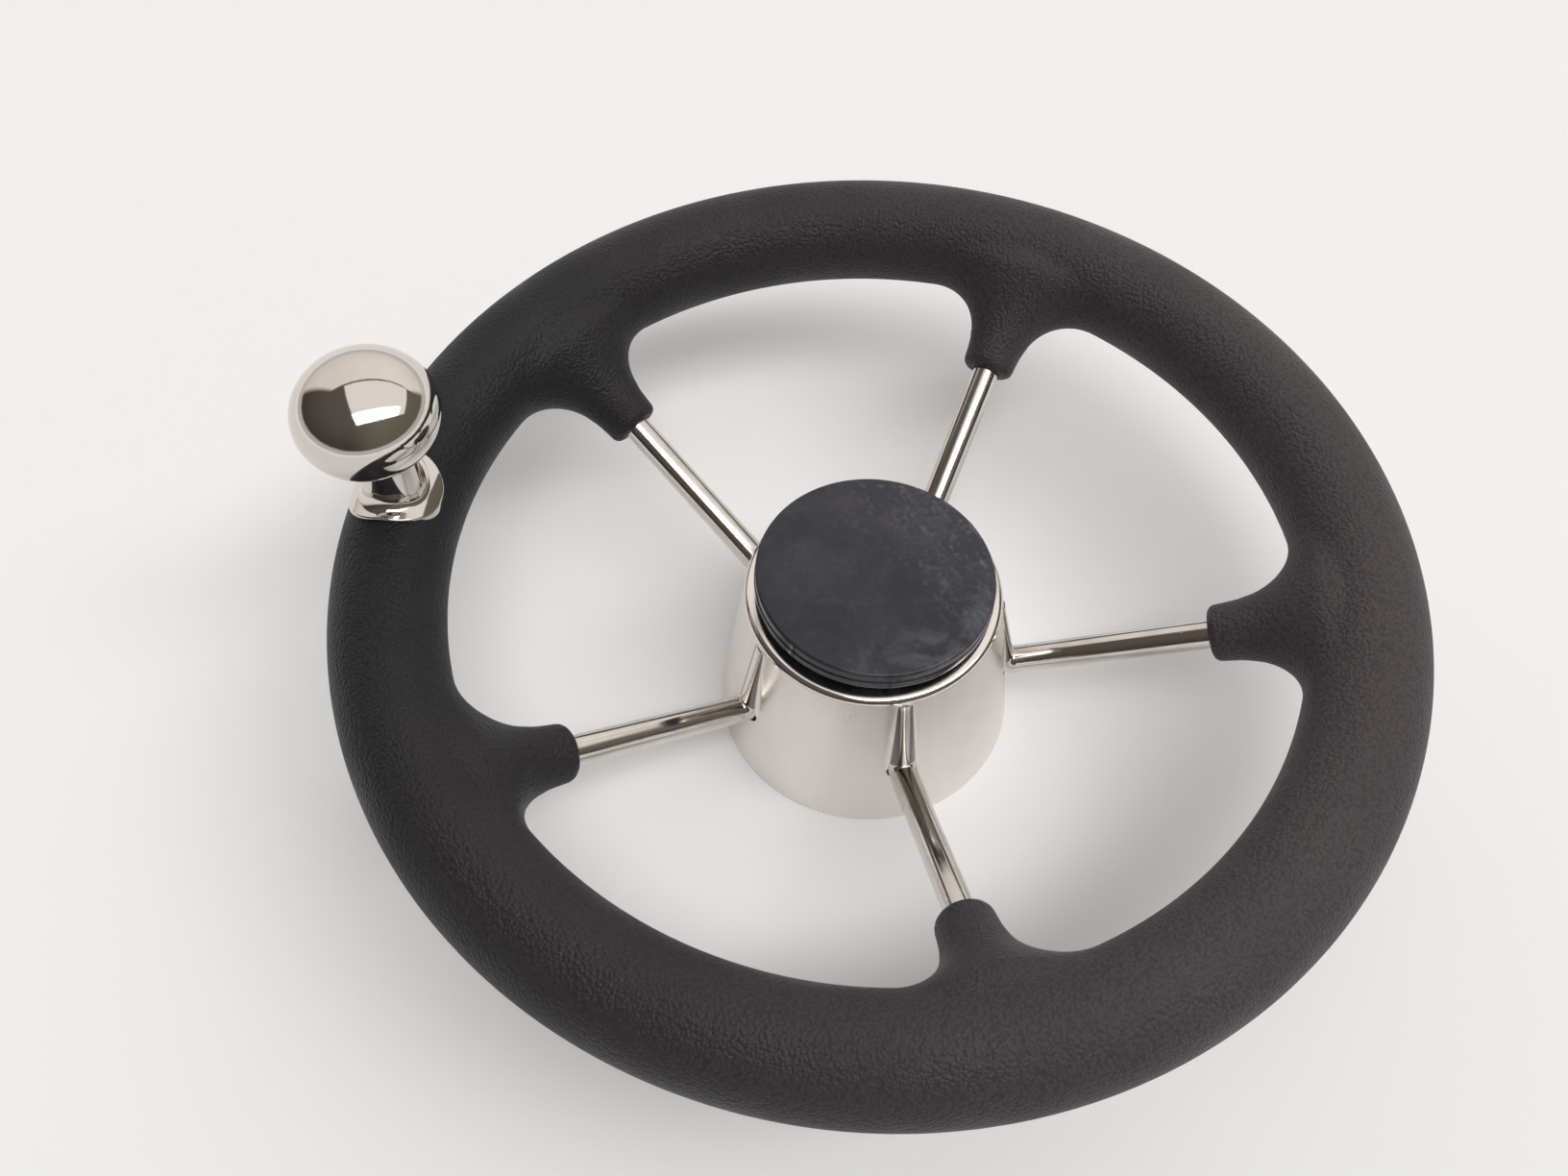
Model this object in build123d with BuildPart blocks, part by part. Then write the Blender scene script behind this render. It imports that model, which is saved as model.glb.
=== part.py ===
"""Five-spoke boat steering wheel with a moulded grip and a spinner knob. Millimetres.

+Z runs along the helm shaft towards the driver. The origin is the centre of the tapered
bore's mouth, in the back face of the boss. The first spoke lies along +X and the knob
stands on the rim near -X, about midway between two spokes.
"""

from build123d import *
from math import acos, atan2, cos, degrees, hypot, pi, radians, sin, tan
import os

# ---- driving dimensions: wheel ------------------------------------------------------
wheel_diameter = 343.0  # over the grip: a 13-1/2 in wheel
grip_diameter = 36.0
rim_height = 73.0  # plane of the rim's centre circle above the boss's back face
dish_angle = 25.0  # fall of the spokes from the rim to the hub
spoke_count = 5
spoke_diameter = 9.5
core_diameter = 12.7
core_wall = 1.6

# ---- driving dimensions: boots, the ends of the grip that run along the spokes ------
boot_tip_reach = 110.5  # distance of the boot's tip from the wheel's axis
boot_tip_radius = 9.8
boot_waist_radius = 9.3
boot_root_fillet = 14.0
boot_tip_round = 3.0

# ---- driving dimensions: hub --------------------------------------------------------
skirt_level = -6.0
skirt_radius = 51.5
lip_level = 61.0
lip_radius = 42.0
lip_round = 2.0
shell_wall = 1.5
mouth_radius = 34.0
boss_radius = 18.0
boss_length = 36.0
bore_mouth_diameter = 19.05  # for a 3/4 in shaft
bore_taper = 1 / 12  # change of diameter along the bore
key_width = 4.76
key_depth = 2.4
web_level = 10.0
web_thickness = 4.0
weld_leg = 3.0
bend_reach = 46.3  # where a spoke's line turns up behind the hub's wall
bend_radius = 5.2
rod_top_reach = 38.2
rod_top_level = 58.0
relief_gap = 0.3  # between a spoke and the hole that it leaves the cone by
relief_length = 14.0

# ---- driving dimensions: centre cap -------------------------------------------------
cap_radius = 38.8
cap_top = 70.5  # at its middle
cap_thickness = 3.3
cap_edge_round = 1.0
cap_groove_depth = 1.2
cap_groove_width = 0.9
cap_bead_radius = 39.0
cap_bead_height = 3.0
cap_bead_round = 0.8
cap_skirt_bottom = 48.0
cap_skirt_radius = 32.1
cap_skirt_wall = 2.6
cap_rib_radius = 32.9
cap_rib_height = 1.6
cap_rib_pitch = 3.6
cap_rib_count = 3
cap_rise = 1.88  # degrees that the plug sits askew, its front edge high
cap_lean = 2.55  # degrees that it sits askew, its left edge high
cap_pivot_level = 64.0

# ---- driving dimensions: spinner knob -----------------------------------------------
ball_radius = 22.05
ball_half_height = 17.3
knob_turn = -0.95  # degrees about Z, from the point opposite the first spoke
ball_level = 126.5
ball_wall = 2.0
neck_radius = 9.4
neck_top = 111.2
saddle_across = 29.0  # over the rim, seen from above
saddle_along = 28.4  # along the rim
saddle_corner = 12.4
saddle_thickness = 1.6
saddle_fillet = 4.0
saddle_edge_round = 0.6
spindle_radius = 4.0
drill_gap = 0.2  # radial, in the holes that the spindle stands in
running_gap = 0.06  # radial, between the bushes and the spindle
thrust_gap = 0.3  # along the spindle, between turning and fixed faces
opening_gap = 0.6  # radial, between the neck and the ball's opening

# ---- derived and common sizes -------------------------------------------------------
rim_radius = (wheel_diameter - grip_diameter) / 2
grip_radius = grip_diameter / 2
core_radius = core_diameter / 2
spoke_radius = spoke_diameter / 2
spoke_pitch = 360 / spoke_count
spoke_angles = [spoke_pitch * i for i in range(spoke_count)]
dish_slope = tan(radians(dish_angle))
shell_slope = (skirt_radius - lip_radius) / (lip_level - skirt_level)
web_top = web_level + web_thickness
edge_break = 0.8
seam_angle = spoke_pitch / 2
piece_start = -10.0  # degrees, either side of a spoke or of the knob
piece_spread = 20.0
opposite = 180.0
knob_place = Rot(0, 0, knob_turn) * Pos(-rim_radius, 0, 0)
knob_plane = Plane(knob_place)
rim_plane = knob_plane.offset(rim_height)


def spoke_height(reach):
    """Height of a spoke's centre line at this distance from the wheel's axis."""
    return rim_height - dish_slope * (rim_radius - reach)


def shell_inside(level):
    """Inner radius of the hub's cone at this height."""
    return lip_radius - shell_wall + shell_slope * (lip_level - level)


def turned(*points):
    """A solid turned about Z from (radius, height) corners."""
    with BuildPart() as made:
        with BuildSketch(Plane.XZ):
            with BuildLine():
                Polyline(*points, close=True)
            make_face()
        revolve(axis=Axis.Z)
    return made.part


def ring(inner, outer, low, high):
    """A plain ring about Z, or a disc where the inner radius is zero."""
    return turned((inner, low), (outer, low), (outer, high), (inner, high))


def rim_arc(radius, start, spread):
    """A round-section length of the rim's ring, from this angle about Z."""
    top = (rim_radius, rim_height + radius)
    bottom = (rim_radius, rim_height - radius)
    with BuildPart() as made:
        with BuildSketch(Plane.XZ.rotated((0, 0, start))):
            with BuildLine():
                ThreePointArc(top, (rim_radius - radius, rim_height), bottom)
                ThreePointArc(bottom, (rim_radius + radius, rim_height), top)
            make_face()
        revolve(axis=Axis.Z, revolution_arc=spread)
    return made.part


def at_knob(part):
    """The part moved from the wheel's axis to the knob's axis."""
    return knob_place * part


def save(part, name):
    """Names a finished piece and writes its STEP file."""
    part.label = name
    export_step(part, f"parts/{name}.step")


os.makedirs("parts", exist_ok=True)

# ---- rim core: steel tube ring, drilled for the knob's spindle ----------------------
drill_radius = spindle_radius + drill_gap

with BuildPart() as rim_core:
    add(rim_arc(core_radius, seam_angle, 360))
    add(rim_arc(core_radius - core_wall, seam_angle, 360), mode=Mode.SUBTRACT)
    with BuildSketch(rim_plane):
        Circle(drill_radius)
    extrude(amount=core_diameter, both=True, mode=Mode.SUBTRACT)
save(rim_core.part, "rim_core")

# ---- spokes: solid rods, coped to the core and bent up behind the hub's wall --------
bend_point = (bend_reach, 0, spoke_height(bend_reach))
rod_top = (rod_top_reach, 0, rod_top_level)
rim_point = (rim_radius, 0, rim_height)
cope = rim_arc(core_radius, piece_start, piece_spread)

with BuildPart() as rod:
    with BuildLine() as rod_line:
        FilletPolyline(rim_point, bend_point, rod_top, radius=bend_radius)
    with BuildSketch(Plane(origin=rod_line.line @ 0, z_dir=rod_line.line % 0)):
        Circle(spoke_radius)
    sweep()
    chamfer(rod.faces().sort_by_distance(rod_top)[0].edges(), edge_break)
    add(cope, mode=Mode.SUBTRACT)

for number, angle in enumerate(spoke_angles, start=1):
    with BuildPart() as spoke:
        add(rod.part, rotation=(0, 0, angle))
    save(spoke.part, f"spoke_{number}")

# ---- hub shell: spun cone with an inturned lip, slotted for the spokes --------------
with BuildPart() as relief:
    with BuildSketch(Plane(origin=bend_point, z_dir=(1, 0, dish_slope))):
        Circle(spoke_radius + relief_gap)
    extrude(amount=relief_length)

with BuildPart() as hub_shell:
    with BuildSketch(Plane.XZ) as shell_profile:
        with BuildLine():
            Polyline(
                (skirt_radius, skirt_level),
                (lip_radius, lip_level),
                (mouth_radius, lip_level),
                (mouth_radius, lip_level - shell_wall),
                (shell_inside(lip_level - shell_wall), lip_level - shell_wall),
                (shell_inside(skirt_level), skirt_level),
                close=True,
            )
        make_face()
        fillet(shell_profile.vertices().group_by(Axis.Y)[-1].sort_by(Axis.X)[-1], lip_round)
    revolve(axis=Axis.Z)
    for angle in spoke_angles:
        add(rod.part, rotation=(0, 0, angle), mode=Mode.SUBTRACT)
        add(relief.part, rotation=(0, 0, angle), mode=Mode.SUBTRACT)
save(hub_shell.part, "hub_shell")

# ---- hub boss: tapered and keyed for the shaft --------------------------------------
bore_mouth_radius = bore_mouth_diameter / 2
bore_fall = bore_taper * boss_length / 2

with BuildPart() as hub_boss:
    with BuildSketch(Plane.XZ):
        with BuildLine():
            Polyline(
                (bore_mouth_radius, 0),
                (boss_radius - edge_break, 0),
                (boss_radius, edge_break),
                (boss_radius, boss_length - edge_break),
                (boss_radius - edge_break, boss_length),
                (bore_mouth_radius - bore_fall, boss_length),
                close=True,
            )
        make_face()
    revolve(axis=Axis.Z)
    with BuildSketch(Plane.XZ):
        with BuildLine():
            Polyline(
                (0, 0),
                (bore_mouth_radius + key_depth, 0),
                (bore_mouth_radius + key_depth - bore_fall, boss_length),
                (0, boss_length),
                close=True,
            )
        make_face()
    extrude(amount=key_width / 2, both=True, mode=Mode.SUBTRACT)
save(hub_boss.part, "hub_boss")

# ---- hub web: disc that ties the boss to the shell, and its welds -------------------
web = turned(
    (boss_radius, web_level),
    (shell_inside(web_level), web_level),
    (shell_inside(web_top), web_top),
    (boss_radius, web_top),
)
save(web, "hub_web")

boss_bead_top = turned(
    (boss_radius, web_top),
    (boss_radius + weld_leg, web_top),
    (boss_radius, web_top + weld_leg),
)
boss_bead_back = turned(
    (boss_radius, web_level),
    (boss_radius + weld_leg, web_level),
    (boss_radius, web_level - weld_leg),
)
shell_bead_back = turned(
    (shell_inside(web_level), web_level),
    (shell_inside(web_level) - weld_leg, web_level),
    (shell_inside(web_level - weld_leg), web_level - weld_leg),
)
save(Compound([boss_bead_top, boss_bead_back, shell_bead_back]), "hub_welds")

# ---- centre cap: black rubber plug with a ribbed skirt, sitting a little askew ------
cap_flange_bottom = cap_top - cap_thickness
cap_bead_bottom = cap_flange_bottom - cap_groove_width - cap_bead_height

with BuildPart() as center_cap:
    with BuildSketch(Plane.XY.offset(cap_flange_bottom)):
        Circle(cap_radius)
    extrude(amount=cap_thickness)
    fillet(center_cap.edges().sort_by(Axis.Z)[-1], cap_edge_round)
    with BuildSketch(Plane.XY.offset(cap_bead_bottom)):
        Circle(cap_radius - cap_groove_depth)
    extrude(amount=cap_flange_bottom - cap_bead_bottom)
    with BuildSketch(Plane.XY.offset(cap_bead_bottom)):
        Circle(cap_bead_radius)
    extrude(amount=cap_bead_height)
    bead_edge = center_cap.edges().filter_by_position(Axis.Z, cap_bead_bottom, cap_bead_bottom)
    fillet(bead_edge, cap_bead_round)
    with BuildSketch(Plane.XY.offset(cap_skirt_bottom)):
        Circle(cap_skirt_radius)
    extrude(amount=cap_bead_bottom - cap_skirt_bottom)
    for rib in range(cap_rib_count):
        with BuildSketch(Plane.XY.offset(cap_skirt_bottom + cap_rib_height / 2 + cap_rib_pitch * rib)):
            Circle(cap_rib_radius)
        extrude(amount=cap_rib_height)
    with BuildSketch(Plane.XY.offset(cap_skirt_bottom)):
        Circle(cap_skirt_radius - cap_skirt_wall)
    extrude(amount=cap_flange_bottom - cap_skirt_bottom, mode=Mode.SUBTRACT)
askew = Pos(0, 0, cap_pivot_level) * Rot(0, cap_lean, 0) * Rot(-cap_rise, 0, 0) * Pos(0, 0, -cap_pivot_level)
save(askew * center_cap.part, "center_cap")

# ---- spinner knob: what turns -------------------------------------------------------
opening_radius = neck_radius + opening_gap
socket_radius = 12.0
bush_radius = 6.3
bush_flange_radius = 8.6
bush_flange = 1.5
washer_thickness = 1.0
bush_bottom = neck_top + washer_thickness + thrust_gap
socket_bottom = bush_bottom + bush_flange
socket_top = 129.5
bush_top = socket_top + bush_flange
bush_split = (socket_bottom + socket_top) / 2
bush_bore = spindle_radius + running_gap


def oval_arc(inset, start, end):
    """Part of the ball's elliptical section, this far inside its surface."""
    handle = 4 / 3 * tan((end - start) / 4)

    def point(angle, along):
        across = (ball_radius - inset) * (cos(angle) - along * sin(angle))
        up = (ball_half_height - inset) * (sin(angle) + along * cos(angle))
        return across, ball_level + up

    return Bezier(point(start, 0), point(start, handle), point(end, -handle), point(end, 0))


def opening_angle(inset):
    """Where that section meets the wall of the ball's opening."""
    return -acos(opening_radius / (ball_radius - inset))


with BuildPart() as ball:
    with BuildSketch(Plane.XZ):
        with BuildLine():
            outside_low = oval_arc(0, opening_angle(0), 0)
            outside_high = oval_arc(0, 0, pi / 2)
            inside_low = oval_arc(ball_wall, opening_angle(ball_wall), 0)
            inside_high = oval_arc(ball_wall, 0, pi / 2)
            Line(outside_high @ 1, inside_high @ 1)
            Line(outside_low @ 0, inside_low @ 0)
        make_face()
    revolve(axis=Axis.Z)
save(at_knob(ball.part), "knob_ball")

with BuildPart() as cavity:
    with BuildSketch(Plane.XZ):
        with BuildLine():
            low = oval_arc(ball_wall, -pi / 2, 0)
            high = oval_arc(ball_wall, 0, pi / 2)
            Line(high @ 1, low @ 0)
        make_face()
    revolve(axis=Axis.Z)

with BuildPart() as socket:
    add(
        turned(
            (bush_flange_radius, bush_bottom),
            (socket_radius, bush_bottom),
            (socket_radius, socket_top),
            (bush_radius, socket_top),
            (bush_radius, socket_bottom),
            (bush_flange_radius, socket_bottom),
        )
    )
    add(cavity.part, mode=Mode.INTERSECT)
save(at_knob(socket.part), "knob_socket")

lower_bush = turned(
    (bush_bore, bush_bottom),
    (bush_flange_radius, bush_bottom),
    (bush_flange_radius, socket_bottom),
    (bush_radius, socket_bottom),
    (bush_radius, bush_split - thrust_gap),
    (bush_bore, bush_split - thrust_gap),
)
save(at_knob(lower_bush), "knob_bush_lower")

upper_bush = turned(
    (bush_bore, bush_top),
    (bush_flange_radius, bush_top),
    (bush_flange_radius, socket_top),
    (bush_radius, socket_top),
    (bush_radius, bush_split + thrust_gap),
    (bush_bore, bush_split + thrust_gap),
)
save(at_knob(upper_bush), "knob_bush_upper")

# ---- spinner knob: what stays fixed to the rim --------------------------------------
spigot_radius = 7.5
head_radius = 7.0
head_height = 5.0
head_socket = 6.0
head_socket_depth = 3.0
nut_flats = 13.0
nut_height = 6.5
washer_radius = 8.6
nut_top = 64.2
washer_wrap = 4.5  # the washer reaches this near to the core's middle plane
washer_top = rim_height - washer_wrap
shank_proud = 1.2
shank_end = nut_top - nut_height - shank_proud
pocket_gap = 0.5
pocket_radius = washer_radius + pocket_gap
head_bottom = bush_top + thrust_gap

saddle_top = grip_radius + saddle_thickness
tolerance = 0.01


def on_saddle_rim(edge):
    """Whether an edge runs round the outside of the saddle, on its upper face."""
    middle = edge @ 0.5
    away = (middle - rim_plane.origin).cross(Vector(0, 0, 1)).length
    lift = hypot(hypot(middle.X, middle.Y) - rim_radius, middle.Z - rim_height)
    return away > neck_radius + saddle_fillet and abs(lift - saddle_top) < tolerance


seat = rim_arc(grip_radius, opposite + piece_start, piece_spread)
core_seat = rim_arc(core_radius, opposite + piece_start, piece_spread)

with BuildPart() as knob_post:
    add(rim_arc(saddle_top, opposite + piece_start, piece_spread))
    with BuildSketch(rim_plane):
        RectangleRounded(saddle_across, saddle_along, saddle_corner)
    extrude(amount=neck_top - rim_height, mode=Mode.INTERSECT)
    with BuildSketch(rim_plane):
        Circle(neck_radius)
    extrude(amount=neck_top - rim_height)
    neck_foot = knob_post.edges().filter_by(GeomType.BSPLINE).sort_by(SortBy.LENGTH)[-1]
    fillet(neck_foot, saddle_fillet)
    fillet(knob_post.edges().filter_by(on_saddle_rim), saddle_edge_round)
    add(seat, mode=Mode.SUBTRACT)
    with BuildSketch(rim_plane):
        Circle(spigot_radius)
    extrude(amount=grip_radius + saddle_thickness / 2)
    add(core_seat, mode=Mode.SUBTRACT)
    with BuildSketch(rim_plane):
        Circle(drill_radius)
    extrude(amount=neck_top - rim_height, mode=Mode.SUBTRACT)
save(knob_post.part, "knob_post")

thrust_washer = ring(drill_radius, bush_flange_radius, neck_top, neck_top + washer_thickness)
save(at_knob(thrust_washer), "knob_thrust_washer")

with BuildPart() as knob_spindle:
    with BuildSketch(knob_plane.offset(shank_end)):
        Circle(spindle_radius)
    extrude(amount=head_bottom - shank_end)
    chamfer(knob_spindle.edges().sort_by(Axis.Z)[0], edge_break)
    with BuildSketch(knob_plane.offset(head_bottom)):
        Circle(head_radius)
    extrude(amount=head_height)
    chamfer(knob_spindle.edges().sort_by(Axis.Z)[-1], edge_break)
    with BuildSketch(knob_plane.offset(head_bottom + head_height)):
        RegularPolygon(head_socket / 2, 6, major_radius=False)
    extrude(amount=-head_socket_depth, mode=Mode.SUBTRACT)
save(knob_spindle.part, "knob_spindle")

with BuildPart() as knob_saddle_washer:
    with BuildSketch(knob_plane.offset(nut_top)):
        Circle(washer_radius)
        Circle(drill_radius, mode=Mode.SUBTRACT)
    extrude(amount=washer_top - nut_top)
    add(core_seat, mode=Mode.SUBTRACT)
save(knob_saddle_washer.part, "knob_saddle_washer")

with BuildPart() as knob_nut:
    with BuildSketch(knob_plane.offset(nut_top - nut_height)):
        RegularPolygon(nut_flats / 2, 6, major_radius=False)
        Circle(spindle_radius, mode=Mode.SUBTRACT)
    extrude(amount=nut_height)
save(knob_nut.part, "knob_nut")

# ---- grip: foam moulded over the core, with a boot along each spoke -----------------
pocket_top = washer_top + thrust_gap
boot_length = (rim_radius - boot_tip_reach) / cos(radians(dish_angle))
boot_spread = degrees(atan2(boot_tip_radius - boot_waist_radius, boot_length))

boot_plane = Plane(origin=rim_point, z_dir=(-1, 0, -dish_slope))

with BuildPart() as boot:
    with BuildSketch(boot_plane):
        Circle(boot_waist_radius)
    extrude(amount=boot_length, taper=-boot_spread)
    fillet(boot.faces().sort_by(Axis.X)[0].edges(), boot_tip_round)

with BuildPart() as knob_seat:
    with BuildSketch(Plane.XZ.rotated((0, 0, opposite + piece_start))):
        with Locations((rim_radius, rim_height)):
            Circle(grip_radius)
            Circle(core_radius, mode=Mode.SUBTRACT)
    revolve(axis=Axis.Z, revolution_arc=piece_spread)
    with BuildSketch(rim_plane):
        Circle(spigot_radius)
    extrude(amount=saddle_top, mode=Mode.SUBTRACT)
    with BuildSketch(knob_plane):
        Circle(pocket_radius)
    extrude(amount=pocket_top, mode=Mode.SUBTRACT)

with BuildPart() as rest_of_grip:
    add(rim_arc(grip_radius, opposite - piece_start, 360 - piece_spread))
    for angle in spoke_angles:
        add(boot.part, rotation=(0, 0, angle))
    fillet(rest_of_grip.edges().filter_by(GeomType.BSPLINE), boot_root_fillet)
    add(rim_arc(core_radius, seam_angle, 360), mode=Mode.SUBTRACT)
    for angle in spoke_angles:
        add(rod.part, rotation=(0, 0, angle), mode=Mode.SUBTRACT)

skin = []
for length in (knob_seat, rest_of_grip):
    joined_ends = length.faces().filter_by(GeomType.PLANE).sort_by(SortBy.AREA)[-2:]
    skin += [face for face in length.faces() if face not in joined_ends]
save(Solid(Shell(skin)), "rim_grip")
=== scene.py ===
"""Looks for the boat steering wheel: foam grip, rubber cap, satin hub, polished spokes and knob."""

import math

import bmesh
import bpy
import numpy as np
from mathutils import Matrix, Vector


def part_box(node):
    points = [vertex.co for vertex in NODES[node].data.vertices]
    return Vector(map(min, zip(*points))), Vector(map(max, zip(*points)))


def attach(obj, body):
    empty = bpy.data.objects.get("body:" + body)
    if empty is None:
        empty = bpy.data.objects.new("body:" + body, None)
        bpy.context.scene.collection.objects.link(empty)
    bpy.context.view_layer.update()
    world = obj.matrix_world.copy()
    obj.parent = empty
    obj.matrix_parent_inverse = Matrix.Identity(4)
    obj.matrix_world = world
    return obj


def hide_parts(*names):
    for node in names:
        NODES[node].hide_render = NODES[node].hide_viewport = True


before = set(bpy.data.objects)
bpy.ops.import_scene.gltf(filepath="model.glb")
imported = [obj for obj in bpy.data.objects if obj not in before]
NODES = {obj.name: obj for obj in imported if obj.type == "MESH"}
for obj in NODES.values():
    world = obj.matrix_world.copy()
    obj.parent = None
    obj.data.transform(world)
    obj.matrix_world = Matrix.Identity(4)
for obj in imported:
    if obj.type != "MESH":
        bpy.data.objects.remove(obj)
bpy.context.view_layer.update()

MM = 0.001
SPOKES = 5

# ---- sizes in millimetres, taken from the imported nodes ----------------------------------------


def corners(name):
    """A node's lowest and highest corners in millimetres."""
    low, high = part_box(name)
    return np.array(low) / MM, np.array(high) / MM


grip_low, grip_high = corners("rim_grip")
core_low, core_high = corners("rim_core")
shell_low, shell_high = corners("hub_shell")
washer_low, washer_high = corners("knob_saddle_washer")

rim_level = (core_low[2] + core_high[2]) / 2
core_radius = (core_high[2] - core_low[2]) / 2
rim_radius = core_high[0] - core_radius
grip_radius = grip_high[0] - rim_radius
floor_level = float(shell_low[2])
lip_level = float(shell_high[2])
spoke_radius = 4.75
dish = math.radians(25)  # the spokes' slope down from the rim to the hub
spoke_angles = [math.radians(360 / SPOKES * i) for i in range(SPOKES)]

cone_foot_radius = (shell_high[0] - shell_low[0]) / 2
cone_lip_radius = 42.0
cone_slope = (cone_foot_radius - cone_lip_radius) / (lip_level - floor_level)


def new_object(name, data):
    """An object in the scene that holds this data."""
    made = bpy.data.objects.new(name, data)
    bpy.context.scene.collection.objects.link(made)
    return made


# ---- camera: a person's view, standing over the wheel -----------------------------------------
VIEW_AZIMUTH = math.radians(6.0)
VIEW_ELEVATION = math.radians(57.06)
VIEW_ROLL = math.radians(0.265)
VIEW_DISTANCE = 453.5
VIEW_SHIFT_RIGHT = 29.2
VIEW_SHIFT_UP = 6.2
VIEW_LENS = 32.7
SENSOR_WIDTH = 36.0


def make_camera():
    """The camera stands back from the rim's centre, a little to the left of it and below it."""
    level = math.cos(VIEW_ELEVATION)
    back_x, back_y = math.sin(VIEW_AZIMUTH) * level, -math.cos(VIEW_AZIMUTH) * level
    back = Vector((back_x, back_y, math.sin(VIEW_ELEVATION)))
    flat_right = Vector((0, 0, 1)).cross(back).normalized()
    flat_up = back.cross(flat_right)
    right = math.cos(VIEW_ROLL) * flat_right + math.sin(VIEW_ROLL) * flat_up
    up = math.cos(VIEW_ROLL) * flat_up - math.sin(VIEW_ROLL) * flat_right
    place = Vector((0, 0, rim_level)) + VIEW_DISTANCE * back
    place = place - VIEW_SHIFT_RIGHT * right - VIEW_SHIFT_UP * up
    data = bpy.data.cameras.new("camera")
    data.sensor_width = SENSOR_WIDTH
    data.lens = VIEW_LENS
    camera = new_object("camera", data)
    turn = Matrix((right, up, back)).transposed().to_4x4()
    camera.matrix_world = Matrix.Translation(place * MM) @ turn
    bpy.context.scene.camera = camera


make_camera()

# ---- shader arithmetic ------------------------------------------------------------------------


class Value:
    """A number in a shader's node tree, with ordinary arithmetic."""

    def __init__(self, tree, socket):
        self.tree = tree
        self.socket = socket

    def join(self, operation, *others):
        """One of the Math node's operations on this number and the others."""
        made = self.tree.nodes.new("ShaderNodeMath")
        made.operation = operation
        for place, item in zip(made.inputs, (self, *others)):
            feed(self.tree, place, item)
        return Value(self.tree, made.outputs[0])

    def __add__(self, other):
        return self.join("ADD", other)

    def __sub__(self, other):
        return self.join("SUBTRACT", other)

    def __rsub__(self, other):
        return self.join("MULTIPLY", -1.0).join("ADD", other)

    def __mul__(self, other):
        return self.join("MULTIPLY", other)

    def __truediv__(self, other):
        return self.join("DIVIDE", other)

    def between(self, low, high, to_low=0.0, to_high=1.0, smooth=True):
        """Maps low..high of this number onto to_low..to_high, clamped at both ends."""
        made = self.tree.nodes.new("ShaderNodeMapRange")
        made.interpolation_type = "SMOOTHSTEP" if smooth else "LINEAR"
        for place, item in zip(made.inputs, (self, low, high, to_low, to_high)):
            feed(self.tree, place, item)
        return Value(self.tree, made.outputs[0])


def feed(tree, place, item):
    """Sets an input to a number or colour, or links it to a value's socket."""
    if isinstance(item, Value):
        tree.links.new(item.socket, place)
    elif isinstance(item, tuple) and len(item) == 3 and len(place.default_value) == 4:
        place.default_value = (*item, 1.0)
    else:
        place.default_value = item


def add_node(tree, kind, inputs, output=0, **settings):
    """Adds a node with its named inputs and settings, and returns one of its outputs."""
    made = tree.nodes.new("ShaderNode" + kind)
    for key, setting in settings.items():
        setattr(made, key, setting)
    for key, item in inputs.items():
        feed(tree, made.inputs[key], item)
    return Value(tree, made.outputs[output])


def split(tree, vector):
    """The three parts of a vector."""
    made = tree.nodes.new("ShaderNodeSeparateXYZ")
    feed(tree, made.inputs[0], vector)
    return [Value(tree, part) for part in made.outputs]


def vector(tree, x, y, z):
    """A vector from three numbers."""
    return add_node(tree, "CombineXYZ", {"X": x, "Y": y, "Z": z})


def noise(tree, place, scale, detail=3.0, roughness=0.5, distortion=0.0):
    """Cloudy noise around a half, with this many clouds to a metre."""
    inputs = {"Vector": place, "Scale": scale, "Detail": detail}
    inputs.update({"Roughness": roughness, "Distortion": distortion})
    return add_node(tree, "TexNoise", inputs)


def reach_of(x, y):
    """Distance from the wheel's axis."""
    return (x * x + y * y).join("SQRT")


def around_spokes(x, y):
    """Angle round the axis times the number of spokes, so that it repeats at every spoke."""
    return y.join("ARCTAN2", x) * float(SPOKES)


def blend_colors(tree, share, first, second):
    """The first colour where the share is zero, the second where it is one."""
    return add_node(tree, "Mix", {0: share, 6: first, 7: second}, output=2, data_type="RGBA")


class Finish:
    """A principled material under construction, with the object's own coordinates in metres."""

    def __init__(self, name, color, metallic, roughness):
        self.material = bpy.data.materials.new(name)
        self.material.use_nodes = True
        self.tree = self.material.node_tree
        self.shader = self.tree.nodes["Principled BSDF"]
        self.set("Metallic", metallic)
        self.set("Base Color", color)
        self.set("Roughness", roughness)
        self.place = add_node(self.tree, "TexCoord", {}, output=3)

    def set(self, key, item):
        feed(self.tree, self.shader.inputs[key], item)

    def bump(self, height, distance, strength=1.0):
        inputs = {"Height": height, "Distance": distance, "Strength": strength}
        self.set("Normal", add_node(self.tree, "Bump", inputs))

    def noise(self, scale, *more):
        return noise(self.tree, self.place, scale, *more)

    def mix(self, share, first, second):
        return blend_colors(self.tree, share, first, second)

    def stretched_noise(self, x, y, z, scale, *more):
        """Noise over coordinates of the caller's own, in metres."""
        return noise(self.tree, vector(self.tree, x, y, z), scale, *more)


# ---- materials: places and sizes in them are in metres, and noise scales in clouds to a metre --


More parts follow.
